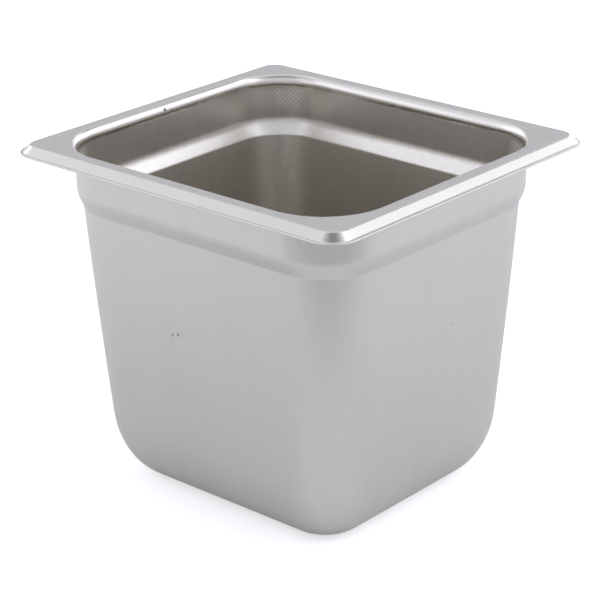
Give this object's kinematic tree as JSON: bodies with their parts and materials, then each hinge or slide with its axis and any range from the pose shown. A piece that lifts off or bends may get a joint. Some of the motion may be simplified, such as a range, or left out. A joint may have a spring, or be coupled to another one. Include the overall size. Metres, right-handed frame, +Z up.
{
  "type": "food pan",
  "caption": "Deep rectangular steel food pan with a bevelled rim, a stacking shoulder, tapered walls and a rounded foot.",
  "frame": {"origin": "middle of the underside of the floor, on the surface that the pan stands on", "axes": "+X along the longer side of the rim, +Y along the shorter side, +Z up out of the opening"},
  "size_m": [0.176, 0.162, 0.15],
  "materials": {
    "steel": "satin, finely brushed, with drawing marks in the inner corners"
  },
  "bodies": {
    "root": {"pan": "steel"}
  },
  "joints": []
}
